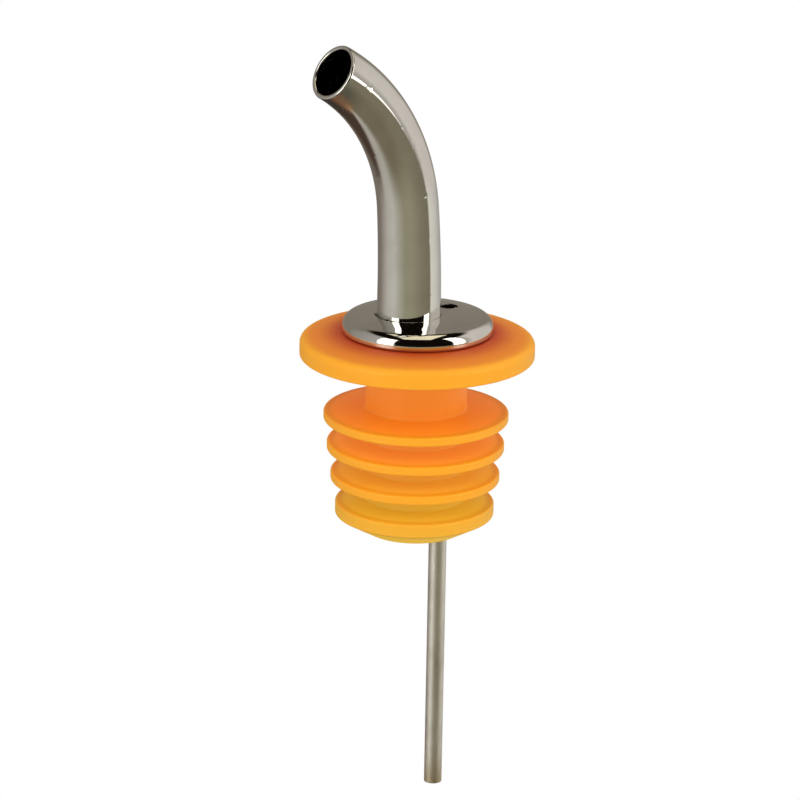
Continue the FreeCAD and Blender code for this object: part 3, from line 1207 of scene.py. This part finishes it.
@dataclass
class Collar:
    """The chromed cap between the tube and the stopper, with its rim turned under."""

    radius: float
    top: float
    base: float
    spout_hole: Hole
    sheet: float = 0.45
    flat_radius: float = 6.9
    crown_drop: float = 0.7
    shoulder_round: float = 1.5
    crown_ease: float = 9.0
    spout_gap: float = 0.02
    spout_hole_round: float = 0.05
    spout_hole_segments: int = 128
    flat_margin: float = 1.0
    rim_round: float = 0.35
    lip_radius: float = 8.9
    lip_round: float = 0.1
    vent_hole: Hole = VENT_HOLE
    step: float = 0.18
    segments: int = 192
    finish: Finish = PolishedChrome()

    @classmethod
    def from_frame(cls) -> "Collar":
        """Take the overall sizes from the CAD nodes.

        Returns:
            The collar.
        """
        low, high = in_mm("collar")
        tube_high = in_mm("spout_tube")[1]
        foot = tube_high.y
        hole = Hole(
            across=tube_high.x - foot, radius=foot + cls.spout_gap,
            rounding=cls.spout_hole_round, segments=cls.spout_hole_segments,
        )
        return cls(radius=high.x, top=high.z, base=low.z, spout_hole=hole)

    def outline(self) -> Outline:
        """Draw the pressing's outline.

        Returns:
            The outline, open where the flat of the crown takes over.
        """
        shoulder = self.top - self.crown_drop
        inner = self.radius - self.sheet
        start = self.flat_radius - self.flat_margin
        return Outline.rounded([
            Corner(start, self.top),
            Corner(self.flat_radius, self.top, self.crown_ease),
            Corner(self.radius, shoulder, self.shoulder_round),
            Corner(self.radius, self.base, self.rim_round),
            Corner(self.lip_radius, self.base, self.lip_round),
            Corner(self.lip_radius, self.base + self.sheet, self.lip_round),
            Corner(inner, self.base + self.sheet, self.lip_round),
            Corner(inner, shoulder - self.sheet, self.shoulder_round - self.sheet),
            Corner(self.flat_radius, self.top - self.sheet),
            Corner(start, self.top - self.sheet),
        ], self.step, closed=False)

    def build(self, shop: Workshop) -> None:
        """Build the collar and put it on its body.

        Args:
            shop: The machines that make it.
        """
        piece = shop.turn("collar_pressing", self.outline(), self.finish, self.segments)
        self._close_crown(piece)
        keep(piece, Rider.POURER, Slot.CHROME, "collar")

    def _close_crown(self, piece: bpy.types.Object) -> None:
        """Fill the crown's flat on both sides of the sheet, with the two holes through it.

        Args:
            piece: The turned pressing.
        """
        mesh = bmesh.new()
        mesh.from_mesh(piece.data)
        bmesh.ops.scale(mesh, vec=(PER_MM, PER_MM, PER_MM), verts=mesh.verts)
        middle = self.top - self.sheet / 2
        open_edges = [edge for edge in mesh.edges if edge.is_boundary]
        upper = [edge for edge in open_edges if edge.verts[0].co.z > middle]
        lower = [edge for edge in open_edges if edge.verts[0].co.z < middle]
        for hole in (self.spout_hole, self.vent_hole):
            top_edges, under_edges = self._line_hole(mesh, hole)
            upper += top_edges
            lower += under_edges
        for side, normal in ((upper, (0, 0, 1)), (lower, (0, 0, -1))):
            bmesh.ops.triangle_fill(mesh, use_beauty=True, edges=side, normal=normal)
        bmesh.ops.recalc_face_normals(mesh, faces=mesh.faces)
        bmesh.ops.scale(mesh, vec=(MM, MM, MM), verts=mesh.verts)
        turned = mesh.faces[0].material_index
        for face in mesh.faces:
            face.smooth = True
            face.material_index = turned
        mesh.to_mesh(piece.data)
        mesh.free()
        face_outwards(piece)

    def _line_hole(
        self, mesh: bmesh.types.BMesh, hole: Hole
    ) -> tuple[list[bmesh.types.BMEdge], list[bmesh.types.BMEdge]]:
        """Add a hole's wall through the sheet.

        Args:
            mesh: The collar's mesh, in millimetres.
            hole: The hole.

        Returns:
            The wall's edges on the crown's top, and those on its underside.
        """
        under = self.top - self.sheet
        profile = [(hole.radius + hole.rounding + hole.margin, self.top)]
        for number in range(ROUND_STEPS + 1):
            angle = math.pi / 2 * number / ROUND_STEPS
            profile.append((
                hole.radius + hole.rounding * (1 - math.sin(angle)),
                self.top - hole.rounding * (1 - math.cos(angle)),
            ))
        profile += [(hole.radius, under), (hole.radius + hole.margin, under)]
        loops = [self._ring(mesh, hole, *point) for point in profile]
        for first, second in zip(loops, loops[1:]):
            for index in range(hole.segments):
                mesh.faces.new((first[index - 1], second[index - 1], second[index], first[index]))
        top_edges, under_edges = (
            [mesh.edges.get((loop[index - 1], loop[index])) for index in range(hole.segments)]
            for loop in (loops[0], loops[-1])
        )
        return top_edges, under_edges

    @staticmethod
    def _ring(
        mesh: bmesh.types.BMesh, hole: Hole, radius: float, height: float
    ) -> list[bmesh.types.BMVert]:
        """Add a level ring of points about a hole's axis.

        Args:
            mesh: The collar's mesh, in millimetres.
            hole: The hole.
            radius: The ring's radius.
            height: The ring's height.

        Returns:
            The ring's points.
        """
        turns = [math.tau * index / hole.segments for index in range(hole.segments)]
        return [
            mesh.verts.new((hole.across + radius * math.cos(turn), radius * math.sin(turn), height))
            for turn in turns
        ]


@dataclass
class Barrel:
    """The drawn ferrule that lines the stopper's bore, with a brim held in the collar's rim."""

    brim_radius: float
    top: float
    depth: float
    radius: float = 5.8
    wall: float = 0.35
    brim_bend: float = 2.25
    edge_share: float = 0.42
    step: float = 0.6
    segments: int = 128
    finish: Finish = PlatedBarrel()

    @classmethod
    def from_frame(cls) -> "Barrel":
        """Take the overall sizes from the CAD node."""
        low, high = in_mm("barrel")
        return cls(brim_radius=high.x, top=high.z, depth=-low.z)

    def build(self, shop: Workshop) -> None:
        """Build the barrel and put it on its body.

        Args:
            shop: The machines that make it.
        """
        inside = self.radius - self.wall
        under = self.top - self.wall
        edge = self.wall * self.edge_share
        outline = Outline.rounded([
            Corner(inside, -self.depth, edge),
            Corner(self.radius, -self.depth, edge),
            Corner(self.radius, under, self.brim_bend),
            Corner(self.brim_radius, under, edge),
            Corner(self.brim_radius, self.top, edge),
            Corner(inside, self.top, self.brim_bend + self.wall),
        ], self.step)
        piece = shop.turn("barrel_ferrule", outline, self.finish, self.segments)
        keep(piece, Rider.POURER, Slot.BARREL, "barrel")


@dataclass
class PouringTube:
    """The chromed tube that the liquor pours from: it tapers evenly and bends over to one side."""

    foot_radius: float
    axis: float
    foot_height: float
    mouth_radius: float = 3.88
    wall: float = 0.6
    straight_top: float = 8.7
    easy_bend: tuple[float, float] = (170.0, 4.15)
    tight_bend: tuple[float, float] = (25.8, 55.35)
    lip_round: float = 0.24
    foot_round: float = 0.08
    step: float = 0.25
    segments: int = 144
    finish: Finish = PolishedChrome()

    @classmethod
    def from_frame(cls) -> "PouringTube":
        """Take the foot's sizes from the CAD node."""
        low, high = in_mm("spout_tube")
        return cls(foot_radius=high.y, axis=high.x - high.y, foot_height=low.z)

    def centre_line(self) -> CentreLine:
        """Draw the tube's centre line.

        Returns:
            The line, from the tube's foot to its mouth.
        """
        line = CentreLine(self.axis, self.foot_height, math.pi / 2)
        line.run(self.straight_top - self.foot_height)
        for radius, turn in (self.easy_bend, self.tight_bend):
            line.bend(radius, math.radians(turn))
        return line

    def build(self, shop: Workshop) -> None:
        """Turn the tube straight, bend it and put it on its body.

        Args:
            shop: The machines that make it.
        """
        line = self.centre_line()
        outline = Outline.rounded([
            Corner(self.foot_radius, 0.0, self.foot_round),
            Corner(self.mouth_radius, line.length, self.lip_round),
            Corner(self.mouth_radius - self.wall, line.length, self.lip_round),
            Corner(self.foot_radius - self.wall, 0.0, self.foot_round),
        ], self.step)
        straight = shop.turn("straight_tube", outline, self.finish, self.segments)
        piece = shop.bend("pouring_tube", straight, line, self.finish)
        keep(piece, Rider.POURER, Slot.CHROME, "spout_tube")


@dataclass
class Breather:
    """The thin tube that lets air into the bottle: it starts at the vent hole and hangs down."""

    foot: float
    radius: float
    reach: float
    top: float
    top_reach: float
    wall: float = 0.3
    jog_radius: float = 3.6
    top_straight: float = 0.1
    cut_round: float = 0.07
    step: float = 0.5
    segments: int = 64
    finish: Finish = DrawnTube()

    @classmethod
    def from_frame(cls) -> "Breather":
        """Take the tube's sizes from the CAD node.

        Returns:
            The breather.
        """
        low, high = in_mm("vent_tube")
        radius = high.y
        return cls(
            foot=low.z, radius=radius, reach=low.x + radius, top=high.z,
            top_reach=high.x - radius, finish=DrawnTube(end_height=low.z),
        )

    def build(self, shop: Workshop) -> None:
        """Turn the tube straight, bend its jog and put it on its body.

        Args:
            shop: The machines that make it.
        """
        turn = math.acos(1 - (self.top_reach - self.reach) / (2 * self.jog_radius))
        line = CentreLine(self.top_reach, self.top, -math.pi / 2)
        line.run(self.top_straight)
        line.bend(self.jog_radius, -turn)
        line.bend(self.jog_radius, turn)
        line.run(line.height - self.foot)
        inside = self.radius - self.wall
        outline = Outline.rounded([
            Corner(self.radius, 0.0, self.cut_round),
            Corner(self.radius, line.length, self.cut_round),
            Corner(inside, line.length, self.cut_round),
            Corner(inside, 0.0, self.cut_round),
        ], self.step)
        straight = shop.turn("straight_breather", outline, self.finish, self.segments)
        piece = shop.bend("breather_tube", straight, line, self.finish)
        keep(piece, Rider.POURER, Slot.TUBE, "vent_tube")


# ---------------------------------------------------------------- studio


def direction_to(azimuth: float, elevation: float) -> Vector:
    """Find the direction from the object to a place round it.

    Args:
        azimuth: Degrees round to the right from -Y.
        elevation: Degrees above the horizon.

    Returns:
        The direction, one unit long.
    """
    turn, rise = math.radians(azimuth), math.radians(elevation)
    level = math.cos(rise)
    return Vector((math.sin(turn) * level, -math.cos(turn) * level, math.sin(rise)))


@dataclass(frozen=True)
class SoftBox:
    """A bright soft box on the room's wall, in degrees round from the camera and up."""

    colour: Colour
    turn: Span
    rise: Span
    turn_edge: float = 4.0
    rise_edge: float = 6.0

    def mask(self, graph: Graph, turn: Wire, rise: Wire) -> Wire:
        """Return 1 inside the box and 0 outside."""
        across = graph.band(turn, *self.turn, self.turn_edge)
        return across * graph.band(rise, *self.rise, self.rise_edge)


@dataclass(frozen=True)
class Ceiling:
    """A cream lamp overhead: half its sizes for one unit of height, and where it starts."""

    colour: Colour = (1.15, 1.03, 0.74)
    half_width: float = 0.30
    half_depth: float = 0.5
    edge: float = 0.05
    up_span: Span = (0.5, 0.6)

    def mask(self, graph: Graph, rightward: Wire, towards: Wire, up: Wire) -> Wire:
        """Return 1 on the lamp and 0 elsewhere.

        Args:
            graph: The room's node tree.
            rightward: How far right a direction points, seen from the camera.
            towards: How far it points towards the camera.
            up: How far up it points.

        Returns:
            The mask.
        """
        width = graph.band(rightward / up, -self.half_width, self.half_width, self.edge)
        depth = graph.band(towards / up, -self.half_depth, self.half_depth, self.edge)
        return width * depth * graph.step(up, *self.up_span)


@dataclass(frozen=True)
class Room:
    """The room that reflections show: a pale table below the horizon and dark walls above it.

    Places are degrees: turns to the right from the camera, and rises from the horizon.
    """

    camera_azimuth: float
    radius_metres: float = 2.5
    facets: int = 4
    horizon: Span = (-11.0, -8.0)
    near_table: Colour = (0.215, 0.18, 0.12)
    near_span: Span = (-17.0, -46.0)
    near_share: float = 0.9
    near_left_share: float = 0.7
    left_span: Span = (-15.0, -75.0)
    far_left_table: Colour = (0.085, 0.055, 0.04)
    far_left_turn: Span = (-86.0, -112.0)
    far_left_rise: Span = (-20.0, -44.0)
    black: Colour = (0.006, 0.004, 0.003)
    stone: Colour = (0.275, 0.245, 0.205)
    black_above: Span = (44.0, 54.0)
    left_box: SoftBox = SoftBox((3.4, 3.3, 3.1), (-62.0, -36.0), (-9.0, 44.0))
    right_box: SoftBox = SoftBox((2.8, 2.7, 2.45), (56.0, 76.0), (-9.0, 56.0))
    ceiling: Ceiling = Ceiling()

    def build(self) -> None:
        """Put the room round the scene, where only reflections show it."""
        mesh = bmesh.new()
        bmesh.ops.create_icosphere(
            mesh, subdivisions=self.facets, radius=self.radius_metres
        )
        data = bpy.data.meshes.new("room")
        mesh.to_mesh(data)
        mesh.free()
        room = bpy.data.objects.new("room", data)
        bpy.context.scene.collection.objects.link(room)
        data.materials.append(self._material())
        for kind in ("camera", "diffuse", "transmission", "volume_scatter", "shadow"):
            setattr(room, f"visible_{kind}", False)

    def _material(self) -> bpy.types.Material:
        """Draw the room's glow.

        Returns:
            Its material.
        """
        material = bpy.data.materials.new("room_glow")
        material.use_nodes = True
        graph = Graph(material.node_tree)
        place = graph.node("ShaderNodeTexCoord", output="Object")
        direction = graph.node("ShaderNodeVectorMath", {"operation": "NORMALIZE"}, {0: place})
        east, north, up = graph.split(direction)
        ahead = direction_to(self.camera_azimuth, 0.0)
        towards = east * ahead.x + north * ahead.y
        rightward = east * -ahead.y + north * ahead.x
        turn = graph.node("ShaderNodeMath", {"operation": "ARCTAN2"}, {0: rightward, 1: towards})
        turn = turn * math.degrees(1.0)
        rise = graph.node("ShaderNodeMath", {"operation": "ARCSINE"}, {0: up}) * math.degrees(1.0)
        lamp = self.ceiling.mask(graph, rightward, towards, up)
        walls = graph.mix(self._walls(graph, turn, rise), self.ceiling.colour, lamp)
        above = graph.step(rise, *self.horizon)
        colour = graph.mix(self._table(graph, turn, rise), walls, above)
        glow = graph.node("ShaderNodeEmission", None, {"Color": colour, "Strength": 1.0})
        graph.node("ShaderNodeOutputMaterial", None, {"Surface": glow})
        return material

    def _table(self, graph: Graph, turn: Wire, rise: Wire) -> Wire:
        """Colour what lies round the object below the horizon.

        Args:
            graph: The room's node tree.
            turn: The turn of each direction.
            rise: The rise of each direction.

        Returns:
            The colours.
        """
        around = graph.ramp(turn, -180.0, 180.0, [
            (-150.0, (0.22, 0.19, 0.16)),
            (-124.0, (0.28, 0.245, 0.21)),
            (-103.0, (0.45, 0.40, 0.36)),
            (-84.0, (0.59, 0.56, 0.52)),
            (-56.0, (0.65, 0.63, 0.57)),
            (-34.0, (0.49, 0.475, 0.40)),
            (-14.0, (0.375, 0.35, 0.245)),
            (10.0, (0.365, 0.345, 0.235)),
            (50.0, (0.27, 0.245, 0.17)),
            (80.0, (0.235, 0.21, 0.15)),
            (86.0, (0.86, 0.83, 0.74)),
            (112.0, (0.75, 0.73, 0.68)),
            (150.0, (0.45, 0.43, 0.40)),
        ])
        left = graph.step(turn, *self.left_span)
        near = graph.step(rise, *self.near_span) * (self.near_share - left * self.near_left_share)
        around = graph.mix(around, self.near_table, near)
        far_left = graph.step(turn, *self.far_left_turn) * graph.step(rise, *self.far_left_rise)
        return graph.mix(around, self.far_left_table, far_left)

    def _walls(self, graph: Graph, turn: Wire, rise: Wire) -> Wire:
        """Colour the room above the horizon.

        Args:
            graph: The room's node tree.
            turn: The turn of each direction.
            rise: The rise of each direction.

        Returns:
            The colours.
        """
        colour = graph.ramp(turn, -180.0, 180.0, [
            (-125.0, self.stone),
            (-100.0, (0.40, 0.38, 0.35)),
            (-66.0, (0.48, 0.46, 0.43)),
            (-36.0, self.black),
            (60.0, self.black),
            (92.0, (0.78, 0.73, 0.68)),
            (140.0, (0.72, 0.67, 0.62)),
            (158.0, self.stone),
        ])
        colour = graph.mix(colour, self.black, graph.step(rise, *self.black_above))
        for box in (self.left_box, self.right_box):
            colour = graph.mix(colour, box.colour, box.mask(graph, turn, rise))
        return colour


@dataclass(frozen=True)
class Lamp:
    """A square soft lamp: degrees round from the camera and up, metres and watts."""

    name: str
    turn: float
    rise: float
    size: float
    power: float
    distance: float = 0.9

    def hang(self, camera_azimuth: float) -> None:
        """Hang the lamp so that it shines on the object.

        Args:
            camera_azimuth: The camera's azimuth, which its turn starts from.
        """
        data = bpy.data.lights.new(self.name, "AREA")
        data.size = self.size
        data.energy = self.power
        lamp = bpy.data.objects.new(self.name, data)
        bpy.context.scene.collection.objects.link(lamp)
        away = direction_to(camera_azimuth + self.turn, self.rise)
        place = Matrix.Translation(away * self.distance)
        lamp.matrix_world = place @ away.to_track_quat("Z", "Y").to_matrix().to_4x4()
        lamp.visible_glossy = False


@dataclass
class Studio:
    """A pale floor, soft lights and the camera, in degrees and millimetres."""

    aim: Colour = (-1.804, 1.306, -6.42)
    azimuth: float = -35.9
    elevation: float = 17.6
    roll: float = 1.0
    distance: float = 544.6
    lens: float = 178.6
    clip_metres: Span = (0.01, 20.0)
    floor_gap: float = 0.4
    floor_metres: float = 6.0
    air_light: float = 0.82
    lamps: tuple[Lamp, ...] = (
        Lamp("key", turn=-14.0, rise=46.0, size=0.5, power=2.2),
        Lamp("fill", turn=38.0, rise=30.0, size=0.6, power=1.5),
    )

    def add_camera(self) -> None:
        """Stand the camera in front of the object."""
        data = bpy.data.cameras.new("camera")
        data.lens = self.lens
        data.clip_start, data.clip_end = self.clip_metres
        camera = bpy.data.objects.new("camera", data)
        bpy.context.scene.collection.objects.link(camera)
        back = direction_to(self.azimuth, self.elevation)
        right = Vector((0, 0, 1)).cross(back).normalized()
        up = back.cross(right)
        roll = math.radians(self.roll)
        leaning_right = right * math.cos(roll) + up * math.sin(roll)
        leaning_up = up * math.cos(roll) - right * math.sin(roll)
        turn = Matrix((leaning_right, leaning_up, back)).transposed().to_4x4()
        place = (Vector(self.aim) + back * self.distance) * MM
        camera.matrix_world = Matrix.Translation(place) @ turn
        bpy.context.scene.camera = camera

    def add_floor(self) -> None:
        """Lay a pale floor under the breather's end."""
        mesh = bpy.data.meshes.new("floor")
        half = self.floor_metres / 2
        height = CAD_BOX[0][2] - self.floor_gap * MM
        corners = [
            (-half, -half, height), (half, -half, height), (half, half, height),
            (-half, half, height),
        ]
        mesh.from_pydata(corners, [], [(0, 1, 2, 3)])
        floor = bpy.data.objects.new("floor", mesh)
        bpy.context.scene.collection.objects.link(floor)
        material = bpy.data.materials.new("paper_floor")
        material.use_nodes = True
        graph = Graph(material.node_tree)
        glow = graph.node("ShaderNodeEmission", None, {"Color": (1, 1, 1, 1), "Strength": 1.0})
        graph.node("ShaderNodeOutputMaterial", None, {"Surface": glow})
        mesh.materials.append(material)
        floor.visible_glossy = False

    def add_air(self) -> None:
        """Surround the scene with pale light that reflections don't show."""
        world = bpy.data.worlds.new("pale_air")
        world.use_nodes = True
        bpy.context.scene.world = world
        graph = Graph(world.node_tree)
        seen = graph.node("ShaderNodeLightPath", output="Is Camera Ray")
        strength = seen * (1.0 - self.air_light) + self.air_light
        glow = graph.node("ShaderNodeBackground", None, {
            "Color": (1, 1, 1, 1), "Strength": strength,
        })
        graph.node("ShaderNodeOutputWorld", None, {"Surface": glow})
        world.cycles_visibility.glossy = False

    def build(self) -> None:
        """Set up the camera, the floor, the room and the lights."""
        bpy.context.scene.view_settings.view_transform = "Standard"
        self.add_camera()
        self.add_floor()
        self.add_air()
        Room(self.azimuth).build()
        for lamp in self.lamps:
            lamp.hang(self.azimuth)


def dress_solder() -> None:
    """Give the three solder joints their finish."""
    for name in ("spout_solder", "vent_solder", "barrel_solder"):
        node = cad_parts[name]
        for held in node.material_slots:
            held.link = "OBJECT"
            held.material = Solder().material()
        LOG.info("%s: finish %s", name, Solder.name)


def main() -> None:
    """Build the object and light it."""
    logging.basicConfig(level=logging.INFO, format="%(name)s %(message)s")
    shop = Workshop()
    for maker in (Stopper, Collar, Barrel, PouringTube, Breather):
        maker.from_frame().build(shop)
    dress_solder()
    Studio().build()


if __name__ == "__main__":
    main()
